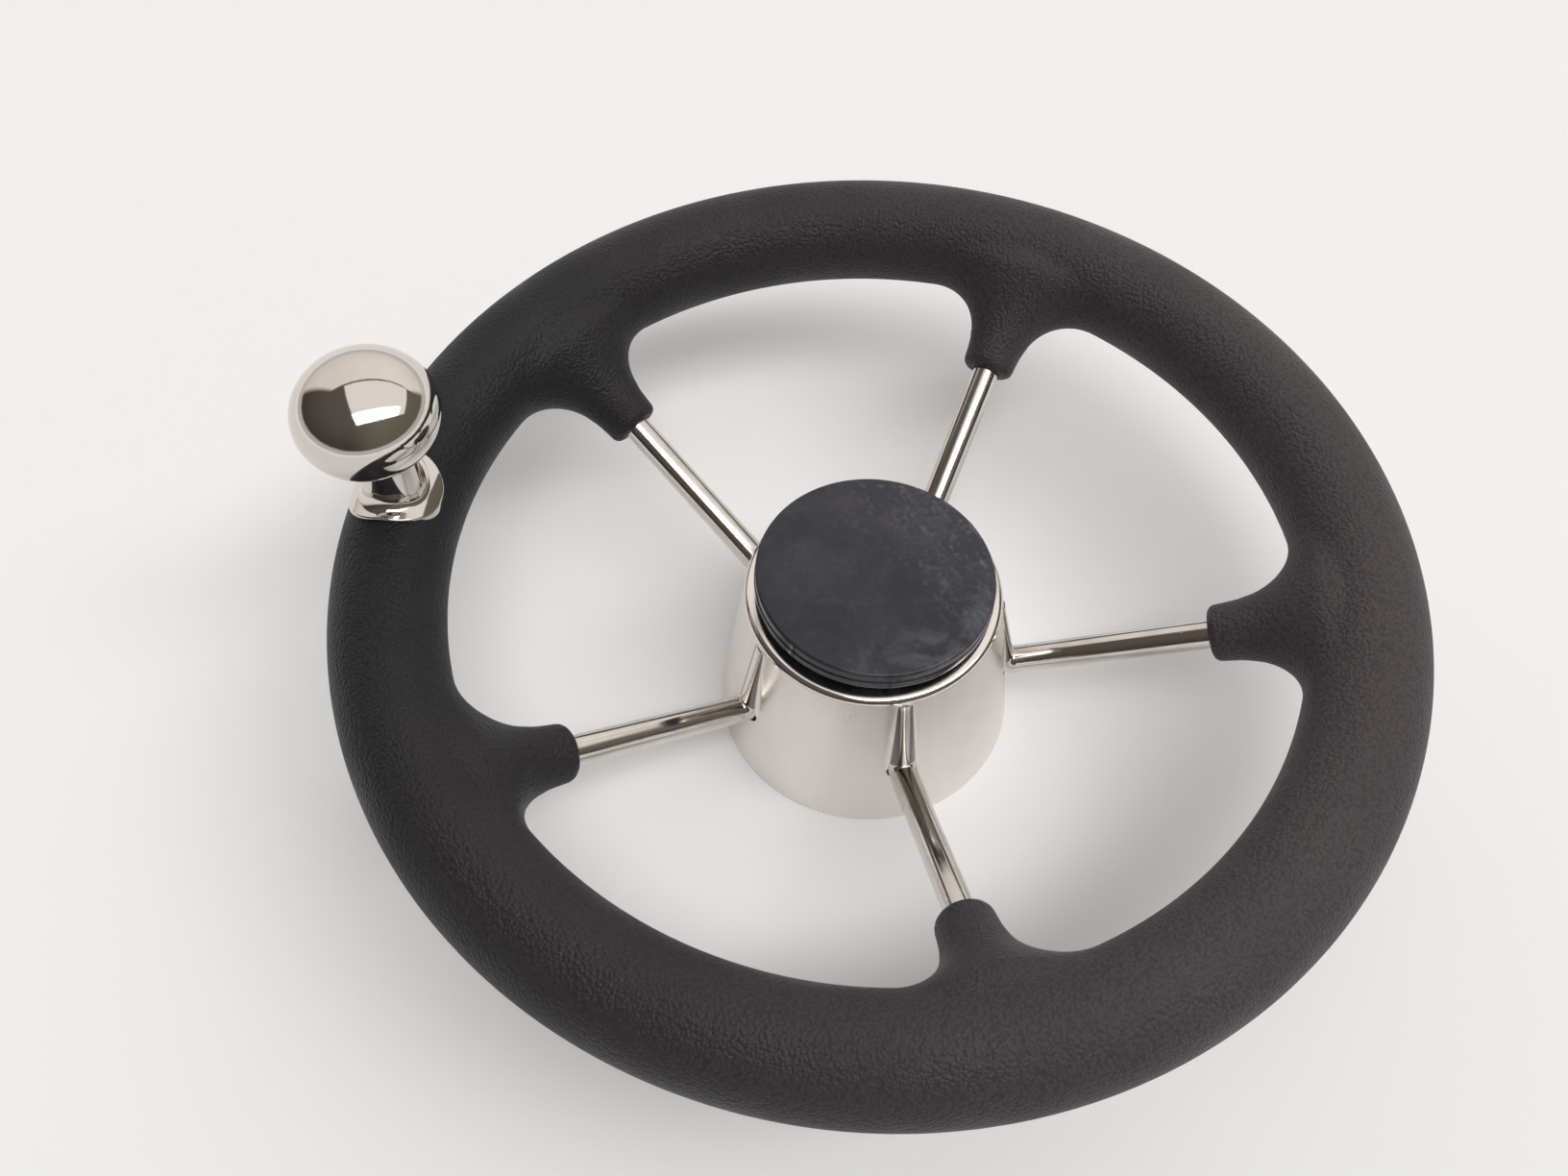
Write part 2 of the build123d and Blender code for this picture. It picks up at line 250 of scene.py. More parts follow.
def foam_finish():
    """Black self-skinned foam: leather grain, low gloss, dusty, with painted warm light making it
    lighter and browner towards +X.
    """
    made = Finish("grip_foam", (0.02, 0.02, 0.022), 0.0, 0.5)
    tree = made.tree
    x, y, z = split(tree, made.place)
    warp = made.noise(240.0, 2.0) * 0.0016  # keeps the leather cells from lying in rows
    bent = vector(tree, x + warp, y - warp, z + warp * 0.5)
    inputs = {"Vector": bent, "Scale": 900.0, "Smoothness": 0.3}
    cells = add_node(tree, "TexVoronoi", inputs, feature="SMOOTH_F1")
    fine = made.noise(2600.0, 3.0)
    broad = made.noise(190.0, 3.0)
    made.bump(fine * 0.3 - cells * 1.3 + broad * 0.35, 0.00036, 0.9)
    # painted light: the foam's colour runs from dark at -X to lighter and browner at +X, standing in
    # for a warm light from that side
    painted_warm_light_share = (x + made.noise(7.0, 3.0) * 0.12).between(-0.11, 0.20, 0.0, 1.0, False)
    ink = made.mix(painted_warm_light_share, (0.0068, 0.0074, 0.0120), (0.0700, 0.0590, 0.0650))
    patches = made.noise(14.0, 4.0).between(0.35, 0.7)
    ink = made.mix(patches * 0.15, ink, (0.024, 0.0232, 0.0265))
    pits = cells.between(0.3, 0.8)
    made.set("Base Color", made.mix(pits * 0.4, ink, (0.011, 0.011, 0.012)))
    made.set("Roughness", made.noise(35.0, 4.0).between(0.3, 0.7, 0.46, 0.58))
    made.set("Specular IOR Level", 0.30)
    return made.material


def steel_finish(name, color, low, high, grain=0.0):
    """Turned or drawn steel: rings about Z in its gloss, and a little of them in its surface."""
    made = Finish(name, color, 1.0, low)
    x, y, z = split(made.tree, made.place)
    rings = made.stretched_noise(reach_of(x, y), z, x * 0.02, 2600.0, 3.0)
    smudge = made.noise(60.0, 4.0)
    made.set("Roughness", (rings * 0.6 + smudge * 0.4).between(0.3, 0.7, low, high))
    tint = smudge.between(0.3, 0.75) * 0.35
    darker = tuple(0.72 * part for part in color)
    made.set("Base Color", made.mix(tint, color, darker))
    if grain:
        made.bump(rings, grain)
    return made.material


def rod_finish():
    """Polished drawn rod: hairlines along each spoke, faint handling marks."""
    made = Finish("spoke_polished", (0.66, 0.63, 0.60), 1.0, 0.14)
    x, y, z = split(made.tree, made.place)
    reach = reach_of(x, y)
    across = around_spokes(x, y).join("SINE") * reach * (1 / SPOKES)
    above = z - reach * math.tan(dish)
    lines = made.stretched_noise(across, above, reach * 0.012, 3800.0, 2.0)
    marks = made.noise(90.0, 4.0)
    spots = made.noise(420.0, 2.0).between(0.66, 0.78)
    gloss = (lines * 0.5 + marks * 0.5).between(0.32, 0.68, 0.09, 0.20)
    made.set("Roughness", gloss + spots * 0.12)
    handled = marks.between(0.35, 0.75) * 0.5
    made.set("Base Color", made.mix(handled, (0.68, 0.65, 0.62), (0.52, 0.49, 0.465)))
    made.bump(lines, 0.000012, 0.6)
    return made.material


GRAIN_RADIUS = 0.047  # the cone's grain is drawn on a ring of this radius
RIDGE_SPAN = (0.023, 0.058)  # heights of the ridge's foot and top
RIDGE_HALF = (0.0045, 0.0023)  # the ridge's half width at those heights
RIDGE_EDGE = (-0.0002, 0.0004)  # the polish fades out over this distance past that width
RIDGE_PROUD = (0.00003, 0.00020)  # it starts where the wall stands this proud of the plain cone
RIDGE_CREST = (0.0010, 0.0019)  # the crest's half width, which the painted dark reflection on the flanks leaves bright
FLANK_END = (0.0582, 0.0590)  # the painted dark reflection on the flanks stops at this height
LIP_BAND = (0.0585, 0.0596)  # the lip is polished above this band


def cone_finish():
    """Satin spun cone: grain up the wall, soft clouding, polish on the lip and the ridges, and a
    painted dark reflection on the ridges' flanks.
    """
    made = Finish("hub_satin", (0.74, 0.715, 0.685), 1.0, 0.3)
    x, y, z = split(made.tree, made.place)
    turn = y.join("ARCTAN2", x)
    ring_x = turn.join("COSINE") * GRAIN_RADIUS
    ring_y = turn.join("SINE") * GRAIN_RADIUS
    grain = made.stretched_noise(ring_x, ring_y, z * 0.035, 3400.0, 3.0)
    coarse = made.stretched_noise(ring_x, ring_y, z * 0.12, 260.0, 3.0)
    cloud = made.noise(45.0, 4.0)
    reach = reach_of(x, y)
    plain_cone = (lip_level * MM - z) * cone_slope + cone_lip_radius * MM
    proud = reach - plain_cone
    across = around_spokes(x, y).join("SINE").join("ABSOLUTE") * reach * (1 / SPOKES)
    beyond = across - z.between(*RIDGE_SPAN, *RIDGE_HALF, False)
    ridge = proud.between(*RIDGE_PROUD) * beyond.between(*RIDGE_EDGE, 1.0, 0.0)
    polish = ridge.join("MAXIMUM", z.between(*LIP_BAND))
    satin = (grain * 0.4 + cloud * 0.6).between(0.3, 0.7, 0.27, 0.36)
    made.set("Roughness", satin * (1.0 - polish * 0.6))
    shade = (coarse * 0.4 + cloud * 0.6).between(0.35, 0.68)
    satin_color = made.mix(shade * 0.25, (0.82, 0.785, 0.75), (0.72, 0.68, 0.645))
    # painted reflection: the ridge's flanks are coloured dark to stand for the dark surroundings they
    # mirror, and the crest stays bright
    painted_dark_reflection = ridge * across.between(*RIDGE_CREST) * z.between(*FLANK_END, 1.0, 0.0)
    polish_and_painted_reflection_color = made.mix(painted_dark_reflection, (0.80, 0.76, 0.73), (0.19, 0.165, 0.15))
    made.set("Base Color", made.mix(polish, satin_color, polish_and_painted_reflection_color))
    made.bump(grain * 0.6 + coarse * 0.08, 0.00001, 0.5)
    return made.material


CAP_EDGE = (0.0365, 0.0380)  # the cap's edge starts to round over between these radii


def rubber_finish():
    """Blue-black moulded rubber: semi-gloss, wiped dust, pale scuffs at its back right edge, and
    painted light making its back right side paler.
    """
    made = Finish("cap_rubber", (0.028, 0.030, 0.037), 0.0, 0.32)
    x, y, z = split(made.tree, made.place)
    cloud = made.noise(62.0, 6.0, 0.6, 0.6)
    fine = made.noise(520.0, 4.0, 0.6)
    swipe = made.stretched_noise(x * 0.8 + y * 0.55, y * 0.18 - x * 0.12, z, 420.0, 4.0)
    side = (x * 0.75 + y * 0.62).between(-0.002, 0.036)
    rub = (x * 0.8 - y * 0.6).between(0.012, 0.036) * cloud.between(0.45, 0.68)
    dust = (cloud * 0.75 + fine * 0.25).between(0.36, 0.74) * 0.26
    scuff = side * (fine * 0.55 + swipe * 0.45).between(0.5, 0.66) * 0.75
    # painted light: side * 0.12 makes the whole back right side evenly paler for light falling from
    # there; dust, scuffs and rubbing are the rest
    pale = (dust + scuff + rub * 0.45 + side * 0.12).join("MINIMUM", 1.0)
    made.set("Base Color", made.mix(pale, (0.0270, 0.0272, 0.0360), (0.125, 0.125, 0.148)))
    wiped = reach_of(x, y).between(*CAP_EDGE, 1.0, 0.55)  # the rounded edge is smoother
    made.set("Roughness", (pale + fine * 0.3).between(0.05, 0.9, 0.20, 0.50) * wiped)
    made.set("Specular IOR Level", 0.28)
    made.bump(fine * 0.5 + swipe * 0.5, 0.00002, 0.6)
    return made.material


def mirror_finish():
    """Buffed stainless: nearly a mirror, with hairline swirls and faint smudges."""
    made = Finish("knob_mirror", (0.66, 0.625, 0.595), 1.0, 0.05)
    x, y, z = split(made.tree, made.place)
    hair = made.stretched_noise(x * 0.25 + y * 0.2, y, z, 2400.0, 2.0)
    smudge = made.noise(85.0, 4.0, 0.55, 0.3)
    made.set("Roughness", (hair * 0.3 + smudge * 0.7).between(0.35, 0.72, 0.035, 0.10))
    dulled = smudge.between(0.4, 0.75) * 0.3
    made.set("Base Color", made.mix(dulled, (0.68, 0.645, 0.615), (0.58, 0.545, 0.51)))
    made.bump(hair, 0.000004, 0.5)
    return made.material


WELD_SCALES = 150.0  # overlapping scales round a bead


def weld_finish():
    """Weld bead: overlapping scales, straw and grey heat tints."""
    made = Finish("weld_metal", (0.42, 0.39, 0.35), 1.0, 0.42)
    x, y, z = split(made.tree, made.place)
    scales = (y.join("ARCTAN2", x) * WELD_SCALES).join("SINE")
    rough = made.noise(500.0, 3.0)
    made.bump(scales * 0.35 + rough, 0.0003, 0.8)
    made.set("Base Color", made.mix(rough.between(0.4, 0.65), (0.46, 0.43, 0.39), (0.27, 0.22, 0.17)))
    made.set("Roughness", rough.between(0.3, 0.7, 0.34, 0.55))
    return made.material


def nylon_finish():
    """Natural nylon: waxy off-white with faint mottling."""
    made = Finish("bush_nylon", (0.72, 0.69, 0.61), 0.0, 0.4)
    cloud = made.noise(180.0, 4.0)
    made.set("Base Color", made.mix(cloud.between(0.35, 0.7), (0.74, 0.71, 0.63), (0.62, 0.58, 0.49)))
    made.set("Roughness", cloud.between(0.3, 0.7, 0.34, 0.48))
    made.set("Subsurface Weight", 0.1)
    made.bump(cloud, 0.00003)
    return made.material


finishes = {
    "core_steel": steel_finish("core_steel", (0.50, 0.48, 0.46), 0.30, 0.45),
    "spoke_polished": rod_finish(),
    "hub_satin": cone_finish(),
    "hub_machined": steel_finish("hub_machined", (0.55, 0.53, 0.51), 0.20, 0.38, 0.00003),
    "weld_metal": weld_finish(),
    "cap_rubber": rubber_finish(),
    "knob_mirror": mirror_finish(),
    "knob_inner_steel": steel_finish("knob_inner_steel", (0.55, 0.53, 0.50), 0.18, 0.34, 0.00002),
    "bush_nylon": nylon_finish(),
    "fastener_steel": steel_finish("fastener_steel", (0.60, 0.585, 0.56), 0.16, 0.32, 0.00001),
    "grip_foam": foam_finish(),
}

for name, piece in NODES.items():
    slot = piece.material_slots[0].material.name.split(".")[0]
    piece.material_slots[0].material = finishes[slot]

# ---- signed distances, in millimetres: below zero inside a shape -------------------------------


def flowing_join(one, two, flow):
    """Two shapes as one, with a hollow of radius flow where they meet."""
    near = np.hypot(np.maximum(flow - one, 0), np.maximum(flow - two, 0))
    return np.maximum(flow, np.minimum(one, two)) - near


def rounded_overlap(one, two, radius):
    """What lies inside both shapes, its edge rounded."""
    one, two = one + radius, two + radius
    outside = np.hypot(np.maximum(one, 0), np.maximum(two, 0))
    return outside + np.minimum(np.maximum(one, two), 0) - radius


# ---- grip: one moulded skin, a ring with a boot flowing out of it along each spoke -------------
BOOT_TIP_REACH = 110.5
BOOT_TIP_ROUND = 2.6
BOOT_NECK = 9.2  # radius at the tip
BOOT_SWELL, BOOT_SWELL_LENGTH, BOOT_SWELL_POWER = 1.0, 12.0, 1.5
BOOT_FLOW = 21.0  # radius of the flare where a boot meets the ring
FLOW_START, FLOW_FULL = -4.0, 14.0  # the flare grows over this stretch, measured along the spoke
BOOT_DROP = 12.0  # the boots reach no further than this below the ring
GRID_STEP = 1.5
GRID_MARGIN = 3 * GRID_STEP
SLOPE_REACH = 0.05
SLOPE_LEAST = 0.05  # keeps a step finite where the distance is flat
RELAX_ROUNDS, RELAX_SHARE = 12, 0.6
ROD_HOLE = spoke_radius + 0.12
ROD_HOLE_DEPTH, ROD_HOLE_PAST = 12.0, 6.0  # how far a hole runs into the boot and past its tip
POCKET_SIDE_GAP, POCKET_TOP_GAP = 0.5, 0.3
CUTTER_OVERRUN = 5.0  # how far the pocket's cutter starts below the grip
BAR_SIDES = 64
GRIP_CREASE = math.radians(50)
boot_length = (rim_radius - BOOT_TIP_REACH) / math.cos(dish)


def along_spoke(points, angle):
    """Distance along a spoke from the rim's centre circle, and distance from the spoke's axis."""
    out = points[:, 0] * math.cos(angle) + points[:, 1] * math.sin(angle) - rim_radius
    side = points[:, 1] * math.cos(angle) - points[:, 0] * math.sin(angle)
    rise = points[:, 2] - rim_level
    along = -out * math.cos(dish) - rise * math.sin(dish)
    tilt = rise * math.cos(dish) - out * math.sin(dish)
    return along, np.hypot(side, tilt)


def boot_radius(along):
    """The boot swells slightly behind its tip."""
    behind = boot_length - along
    return BOOT_NECK + BOOT_SWELL * np.clip(behind / BOOT_SWELL_LENGTH, 0, 1) ** BOOT_SWELL_POWER


def grip_distance(points):
    """Signed distance to the grip's skin."""
    from_axis = np.hypot(points[:, 0], points[:, 1])
    skin = np.hypot(from_axis - rim_radius, points[:, 2] - rim_level) - grip_radius
    for angle in spoke_angles:
        along, away = along_spoke(points, angle)
        boot = rounded_overlap(away - boot_radius(along), along - boot_length, BOOT_TIP_ROUND)
        boot = np.maximum(boot, -along)
        share = np.clip((along - FLOW_START) / (FLOW_FULL - FLOW_START), 0, 1)
        skin = flowing_join(skin, boot, BOOT_FLOW * share**2 * (3 - 2 * share))
    return skin


def slope_of(points):
    """Gradient of the grip's distance by central differences."""
    parts = []
    for axis in range(3):
        shift = np.zeros(3)
        shift[axis] = SLOPE_REACH
        ahead, behind = grip_distance(points + shift), grip_distance(points - shift)
        parts.append((ahead - behind) / (2 * SLOPE_REACH))
    return np.stack(parts, axis=1)


def onto_skin(points, rounds):
    """Moves points along the gradient until they lie on the skin."""
    for _ in range(rounds):
        slope = slope_of(points)
        size = np.maximum((slope**2).sum(1), SLOPE_LEAST)
        points = points - slope * (grip_distance(points) / size)[:, None]
    return points


def skin_mesh():
    """A quad mesh of the skin: one point in each grid cell that the skin crosses."""
    reach = rim_radius + grip_radius + GRID_MARGIN
    flat = np.arange(-reach, reach, GRID_STEP)
    bottom, top = rim_level - grip_radius - BOOT_DROP, rim_level + grip_radius + GRID_MARGIN
    tall = np.arange(bottom, top, GRID_STEP)
    grid = np.stack(np.meshgrid(flat, flat, tall, indexing="ij"), axis=-1)
    field = grip_distance(grid.reshape(-1, 3)).reshape(grid.shape[:3])
    inside = field < 0
    cell = np.zeros(tuple(n - 1 for n in inside.shape), int)
    for i in (0, 1):
        for j in (0, 1):
            for k in (0, 1):
                cell += inside[i : i + cell.shape[0], j : j + cell.shape[1], k : k + cell.shape[2]]
    crossed = (cell > 0) & (cell < 8)
    index = np.full(cell.shape, -1)
    index[crossed] = np.arange(crossed.sum())
    points = np.stack(np.nonzero(crossed), axis=1) * GRID_STEP + grid[0, 0, 0] + GRID_STEP / 2
    faces = []
    for axis in range(3):
        ahead = np.roll(inside, -1, axis)
        edge = inside != ahead
        edge[tuple(slice(-1, None) if a == axis else slice(None) for a in range(3))] = False
        at = np.stack(np.nonzero(edge), axis=1)
        one, two = np.eye(3, dtype=int)[(axis + 1) % 3], np.eye(3, dtype=int)[(axis + 2) % 3]
        around = (at, at - one, at - one - two, at - two)
        quad = np.stack([index[tuple(cells.T)] for cells in around], axis=1)
        leaving = inside[tuple(at.T)]
        quad[~leaving] = quad[~leaving][:, ::-1]
        faces.append(quad)
    return points, np.concatenate(faces)


def relaxed(points, faces, rounds):
    """Evens the mesh out along the skin."""
    pairs = np.concatenate([np.stack([faces[:, i], faces[:, (i + 1) % 4]], axis=1) for i in range(4)])
    pairs = np.unique(np.sort(pairs, axis=1), axis=0)
    pairs = np.concatenate([pairs, pairs[:, ::-1]])
    count = np.bincount(pairs[:, 0], minlength=len(points))[:, None]
    for _ in range(rounds):
        sums = [np.bincount(pairs[:, 0], points[pairs[:, 1], a], len(points)) for a in range(3)]
        mean = np.stack(sums, axis=1) / count
        points = onto_skin(points + RELAX_SHARE * (mean - points), 1)
    return onto_skin(points, 2)


def mesh_piece(name, points, faces):
    """An object from points in millimetres."""
    mesh = bpy.data.meshes.new(name)
    mesh.from_pydata((points * MM).tolist(), [], faces.tolist())
    mesh.update()
    return new_object(name, mesh)


def dress(piece, finish, crease):
    """Gives a piece its material, and smooth shading up to this angle between faces."""
    piece.data.materials.clear()
    piece.data.materials.append(finishes[finish])
    piece.data.polygons.foreach_set("use_smooth", [True] * len(piece.data.polygons))
    piece.data.set_sharp_from_angle(angle=crease)


def round_bar(mesh, start, end, radius):
    """Adds a capped bar between two points, in millimetres, to a bmesh."""
    start, end = Vector(start) * MM, Vector(end) * MM
    turn = (end - start).to_track_quat("Z", "Y").to_matrix().to_4x4()
    place = Matrix.Translation((start + end) / 2) @ turn
    size = {"radius1": radius * MM, "radius2": radius * MM, "depth": (end - start).length}
    bmesh.ops.create_cone(mesh, cap_ends=True, segments=BAR_SIDES, matrix=place, **size)


def at_spoke(angle, along):
    """The point this far along a spoke's axis from the rim's centre circle."""
    out = rim_radius - along * math.cos(dish)
    return (out * math.cos(angle), out * math.sin(angle), rim_level - along * math.sin(dish))


def cut(piece, fill):
    """Takes what fill() adds to a bmesh out of a piece."""
    data = bpy.data.meshes.new("cutter")
    shape = bmesh.new()
    fill(shape)
    shape.to_mesh(data)
    shape.free()
    cutter = new_object("cutter", data)
    tool = piece.modifiers.new("cut", "BOOLEAN")
    tool.operation = "DIFFERENCE"
    tool.solver = "EXACT"
    tool.object = cutter
    bpy.context.view_layer.update()
    finished = piece.evaluated_get(bpy.context.evaluated_depsgraph_get())
    result = bpy.data.meshes.new_from_object(finished)
    piece.modifiers.clear()
    piece.data = result
    bpy.data.objects.remove(cutter)


def grip_holes(shape):
    """The rods' holes in the boots and the pocket for the knob's washer and nut."""
    inner, outer = boot_length - ROD_HOLE_DEPTH, boot_length + ROD_HOLE_PAST
    for angle in spoke_angles:
        round_bar(shape, at_spoke(angle, inner), at_spoke(angle, outer), ROD_HOLE)
    pocket = (washer_high[0] - washer_low[0]) / 2 + POCKET_SIDE_GAP
    x, y = (washer_low[:2] + washer_high[:2]) / 2
    below = grip_low[2] - CUTTER_OVERRUN
    round_bar(shape, (x, y, below), (x, y, washer_high[2] + POCKET_TOP_GAP), pocket)


def make_grip():
    """The foam grip, in one piece round the rim and down the roots of the spokes."""
    points, faces = skin_mesh()
    points = relaxed(onto_skin(points, 3), faces, RELAX_ROUNDS)
    piece = mesh_piece("grip_skin", points, faces)
    cut(piece, grip_holes)
    dress(piece, "grip_foam", GRIP_CREASE)
    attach(piece, "wheel")
    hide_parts("rim_grip")


make_grip()

# ---- hub: a spun cone with an inturned lip, dressed smooth over each rod's upright leg ---------
CONE_WALL = 1.5
CONE_MOUTH = 34.0
LIP_ROUND = 2.0
RIM_BREAK = 0.3  # the small bevel on the cone's sharp rims
LEG_FOOT_REACH, LEG_TOP_REACH, LEG_TOP_LEVEL = 46.3, 38.2, 58.0
LEG_START = 3.0  # the ridge begins this far up the leg from the rod's bend
LEG_SKIN = 0.06
RIDGE_FLOW, RIDGE_FLOW_LEAST = 1.3, 0.3  # the hollow beside a ridge, and its least share of that
RIDGE_TOP, RIDGE_TOP_ROUND = 59.0, 1.6  # the ridge stops just under the lip
HOLE_GAP = 0.28
HOLE_OUTSIDE, HOLE_INSIDE = 12.0, 9.0  # how far a hole's cutter runs each way from the bend
SECTOR_STEPS, WALL_STEPS, LIP_STEPS = 96, 130, 8
SECTOR_EVEN, SECTOR_CUBE = 0.35, 2.6  # spread a sector's points, closer together at its ridge
TOP_STEPS, INNER_STEPS = 5, 12
UNDER_BREAK = 1.0  # the bevel inside the cone, under its lip
TRACE_START, TRACE_ROUNDS = 9.0, 60
HUB_CREASE = math.radians(40)

leg_foot_level = rim_level - math.tan(dish) * (rim_radius - LEG_FOOT_REACH)


def cone_radius(level):
    """The cone's outer radius at this height."""
    return cone_lip_radius + cone_slope * (lip_level - level)


def ridge_distance(x, y, level):
    """Signed distance to the ridge over the upright leg of the first spoke's rod."""
    leg = np.array([LEG_TOP_REACH - LEG_FOOT_REACH, LEG_TOP_LEVEL - leg_foot_level])
    length = np.hypot(*leg)
    forward, rise = x - LEG_FOOT_REACH, level - leg_foot_level
    along = np.clip((forward * leg[0] + rise * leg[1]) / length, LEG_START, length)
    off_x, off_z = forward - along * leg[0] / length, rise - along * leg[1] / length
    away = np.sqrt(off_x**2 + off_z**2 + y**2)
    return rounded_overlap(away - spoke_radius - LEG_SKIN, level - RIDGE_TOP, RIDGE_TOP_ROUND)


def hub_distance(turn, reach, level):
    """Signed distance to the hub's outside at points given by their angle, radius and height."""
    wall = (reach - cone_radius(level)) / math.hypot(1, cone_slope)
    ridge = ridge_distance(reach * np.cos(turn), reach * np.sin(turn), level)
    share = np.clip((RIDGE_TOP - level) / (LEG_TOP_LEVEL - leg_foot_level), RIDGE_FLOW_LEAST, 1)
    body = flowing_join(wall, ridge, RIDGE_FLOW * share)
    return rounded_overlap(body, level - lip_level, LIP_ROUND)


def traced(turn, reach, level, tilt):
    """Where rays from these points, rising by tilt, meet the hub's outside from beyond it."""
    far = np.full_like(turn, TRACE_START)
    for _ in range(TRACE_ROUNDS):
        far = far - hub_distance(turn, reach + far * math.cos(tilt), level + far * math.sin(tilt))
    return reach + far * math.cos(tilt), level + far * math.sin(tilt)


def hub_rows(turn):
    """The hub's section as rows of (radius, height), from its foot up over the lip and back down."""
    foot, under, shoulder = cone_radius(floor_level), lip_level - CONE_WALL, lip_level - LIP_ROUND
    rows = [(foot - CONE_WALL, floor_level), (foot - RIM_BREAK, floor_level)]
    for level in np.linspace(floor_level + RIM_BREAK, shoulder, WALL_STEPS):
        rows.append(traced(turn, cone_radius(level) - LIP_ROUND, level, 0.0))
    for tilt in np.linspace(0, math.pi / 2, LIP_STEPS)[1:]:
        rows.append(traced(turn, cone_radius(shoulder) - LIP_ROUND, shoulder, tilt))
    for reach in np.linspace(cone_lip_radius - LIP_ROUND, CONE_MOUTH + RIM_BREAK, TOP_STEPS)[1:]:
        rows.append((reach, lip_level))
    rows.append((CONE_MOUTH, lip_level - RIM_BREAK))
    rows.append((CONE_MOUTH, under + RIM_BREAK))
    rows.append((CONE_MOUTH + RIM_BREAK, under))
    rows.append((cone_radius(under) - CONE_WALL - UNDER_BREAK, under))
    for level in np.linspace(under - UNDER_BREAK, floor_level, INNER_STEPS)[:-1]:
        rows.append((cone_radius(level) - CONE_WALL, level))
    return rows


def hub_holes(shape):
    """The holes in the cone's wall that the rods leave by."""
    bend = (rim_radius - LEG_FOOT_REACH) / math.cos(dish)
    for angle in spoke_angles:
        inside, outside = at_spoke(angle, bend + HOLE_INSIDE), at_spoke(angle, bend - HOLE_OUTSIDE)
        round_bar(shape, inside, outside, spoke_radius + HOLE_GAP)


def make_hub():
    """The hub's cone, made row by row round its axis, with the rods' holes cut through it."""
    place = np.arange(SECTOR_STEPS) / SECTOR_STEPS - 0.5
    sector = SECTOR_EVEN * place + SECTOR_CUBE * place**3
    turn = np.tile(sector * 2 * math.pi / SPOKES, SPOKES)
    whole = np.concatenate([sector * 2 * math.pi / SPOKES + angle for angle in spoke_angles])
    count = len(whole)
    rows = hub_rows(turn)
    points = []
    for reach, level in rows:
        around = (reach * np.cos(whole), reach * np.sin(whole), level + np.zeros(count))
        points.append(np.stack(around, axis=1))
    faces = []
    here = np.arange(count)
    ahead = (here + 1) % count
    for row in range(len(rows)):
        one, two = row * count, (row + 1) % len(rows) * count
        faces.append(np.stack([one + here, one + ahead, two + ahead, two + here], axis=1))
    piece = mesh_piece("hub_cone", np.concatenate(points), np.concatenate(faces))
    cut(piece, hub_holes)
    dress(piece, "hub_satin", HUB_CREASE)
    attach(piece, "wheel")
    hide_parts("hub_shell")


make_hub()

# ---- light: a pale backdrop behind, a ceiling panel with a bright near strip, a dim room -------
# The panel and the backdrop's edge are placed on a ceiling: a direction's sideways parts over its
# upward part.
BACKDROP_TURN = math.radians(24)  # the backdrop and the panel stand turned about Z by this much
BACKDROP_EDGE = 0.60
BACKDROP_MIDDLE = math.radians(-9.5)  # measured from straight behind, positive to the right
BACKDROP_HALF = (math.radians(54), math.radians(62))  # it fades out between these
PANEL_LEFT, PANEL_RIGHT = -0.27, 1.5
PANEL_NEAR, PANEL_FAR = -0.62, 0.54
STRIP_FAR, STRIP_RIGHT = -0.22, 1.2
STRIP_FAR_FADE, STRIP_RIGHT_FADE = 0.08, 0.4
EDGE = 0.02  # half the width over which an edge fades
LOW_BAND = (0.10, 0.17)  # a band of light round the horizon fades out between these heights
HORIZON = 0.02  # heights below this count as this, to keep the ceiling finite
WHITE = 0.97  # the background as the camera sees it
FADE_START, FADE_END = 0.7, 2.0  # the floor turns into that white between these, in metres
FLOOR_HALF = 6.0


def band(value, low, high):
    """One between two edges and zero outside them."""
    rising = value.between(low - EDGE, low + EDGE)
    return rising * value.between(high - EDGE, high + EDGE, 1.0, 0.0)


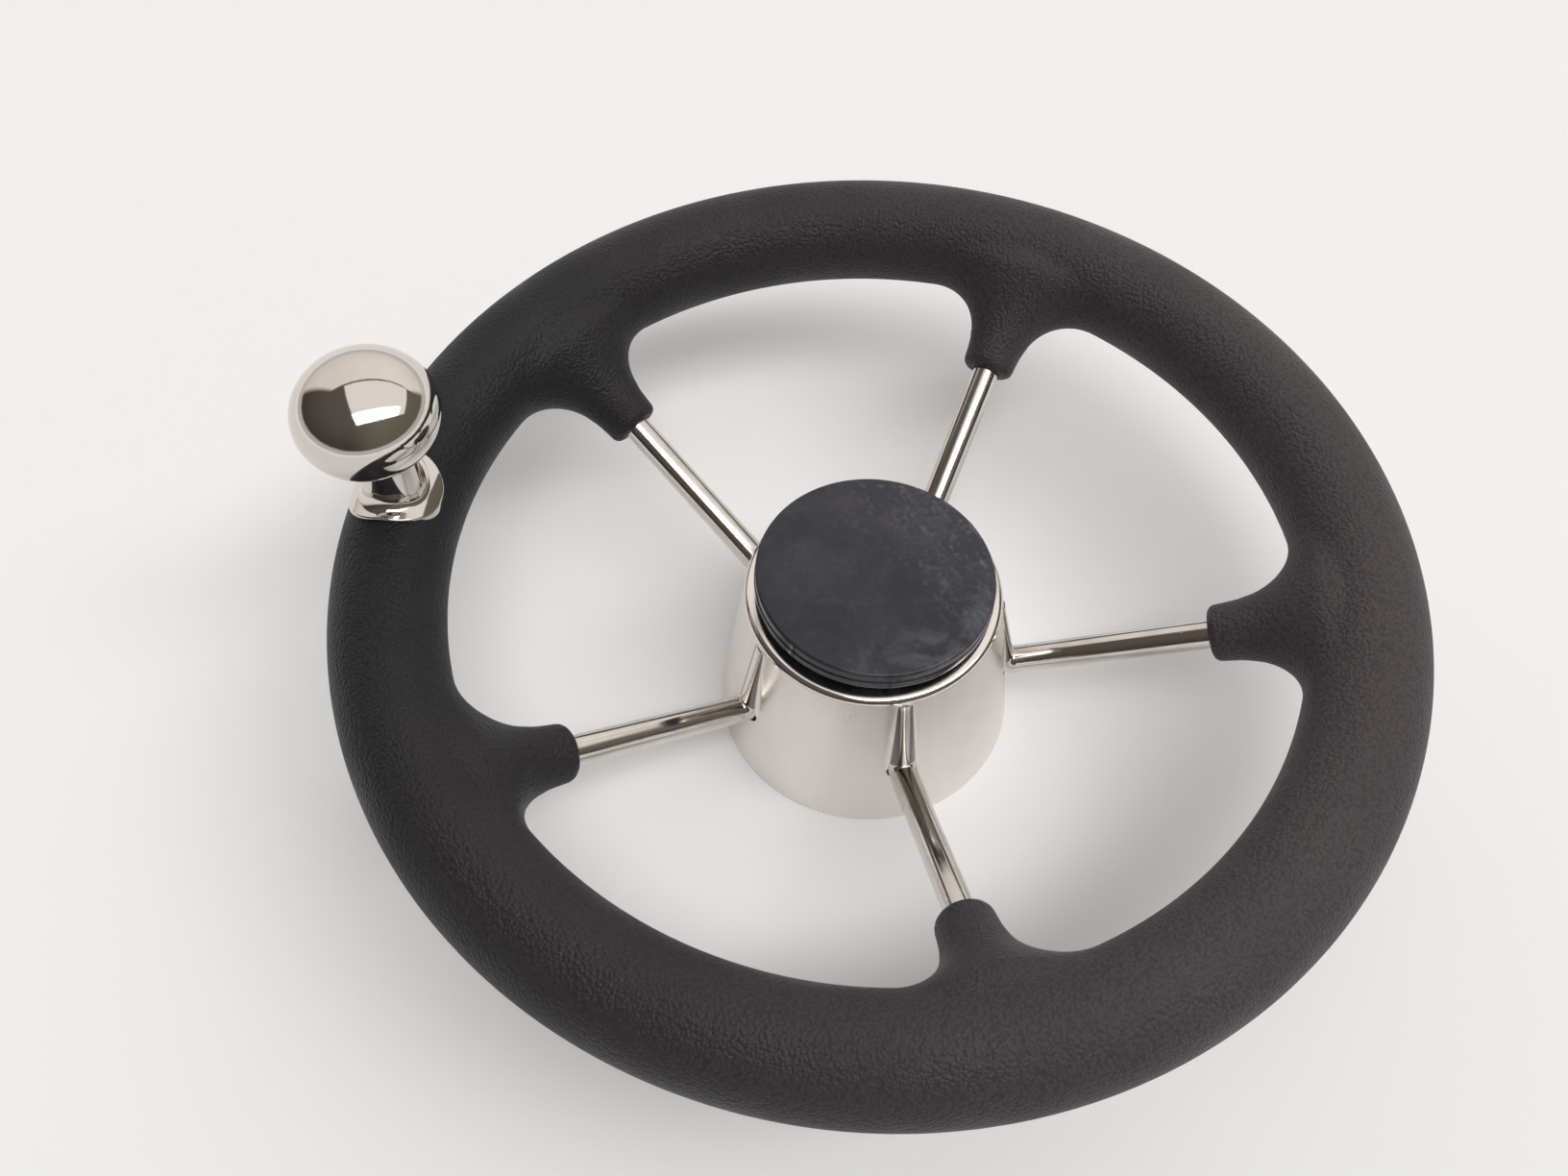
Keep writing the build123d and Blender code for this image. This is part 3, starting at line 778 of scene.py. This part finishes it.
def studio_color(tree):
    """The light that comes from each direction."""
    x, y, z = split(tree, add_node(tree, "TexCoord", {}, output=0))
    up = z.join("MAXIMUM", HORIZON)
    c, s = math.cos(BACKDROP_TURN), math.sin(BACKDROP_TURN)
    p = (x * c + y * s) / up
    q = (y * c - x * s) / up
    wall = q.between(BACKDROP_EDGE - EDGE, BACKDROP_EDGE + EDGE)
    off_middle = (x.join("ARCTAN2", y) - BACKDROP_MIDDLE).join("ABSOLUTE")
    wall = wall * off_middle.between(*BACKDROP_HALF, 1.0, 0.0)
    panel = band(p, PANEL_LEFT, PANEL_RIGHT) * band(q, PANEL_NEAR, PANEL_FAR)
    strip = panel * q.between(STRIP_FAR - STRIP_FAR_FADE, STRIP_FAR, 1.0, 0.0)
    strip = strip * p.between(STRIP_RIGHT - STRIP_RIGHT_FADE, STRIP_RIGHT, 1.0, 0.0)
    low = z.between(*LOW_BAND, 1.0, 0.0)
    room = blend_colors(tree, x.between(-0.2, 0.6), (0.070, 0.056, 0.048), (0.15, 0.14, 0.105))
    room = blend_colors(tree, z.between(0.15, 0.9) * 0.16, room, (0.40, 0.37, 0.34))
    lift = z.between(0.0, 0.55, 0.55, 1.0) * x.between(-0.8, 0.1, 0.72, 1.0)
    cloth = blend_colors(tree, lift, (0.60, 0.56, 0.53), (1.02, 0.955, 0.90))
    color = blend_colors(tree, wall, room, cloth)
    color = blend_colors(tree, low * 0.9, color, (0.66, 0.62, 0.59))
    color = blend_colors(tree, panel, color, (1.0, 0.955, 0.915))
    return blend_colors(tree, strip, color, (6.2, 6.0, 5.8))


def make_world():
    """The studio lights the wheel, and the camera sees plain white in its place."""
    world = bpy.data.worlds.new("studio")
    bpy.context.scene.world = world
    world.use_nodes = True
    tree = world.node_tree
    tree.nodes.clear()
    lit = add_node(tree, "Background", {"Color": studio_color(tree), "Strength": 1.0})
    plain = add_node(tree, "Background", {"Color": (WHITE, WHITE, WHITE), "Strength": 1.0})
    seen = add_node(tree, "LightPath", {}, output=0)
    shown = tree.nodes.new("ShaderNodeMixShader")
    for place, item in zip(shown.inputs, (seen, lit, plain)):
        tree.links.new(item.socket, place)
    out = tree.nodes.new("ShaderNodeOutputWorld")
    tree.links.new(shown.outputs[0], out.inputs["Surface"])


def make_floor():
    """Pale paper that fades into the background's white well away from the wheel."""
    made = Finish("floor_paper", (0.93, 0.95, 0.98), 0.0, 0.8)
    x, y, z = split(made.tree, made.place)
    far = reach_of(x, y).between(FADE_START, FADE_END)
    paper = made.mix(made.noise(3.0, 2.0), (0.935, 0.96, 0.99), (0.92, 0.945, 0.975))
    made.set("Base Color", made.mix(far, paper, (0.0, 0.0, 0.0)))
    made.set("Specular IOR Level", far.between(0.0, 1.0, 0.5, 0.0, False))
    made.set("Emission Color", (1.0, 1.0, 1.0))
    made.set("Emission Strength", far * WHITE)
    shape = bmesh.new()
    bmesh.ops.create_grid(shape, x_segments=8, y_segments=8, size=FLOOR_HALF)
    data = bpy.data.meshes.new("floor")
    shape.to_mesh(data)
    shape.free()
    floor = new_object("floor", data)
    floor.location = (0, 0, floor_level * MM)
    floor.data.materials.append(made.material)


make_world()
make_floor()
bpy.context.scene.view_settings.view_transform = "Standard"
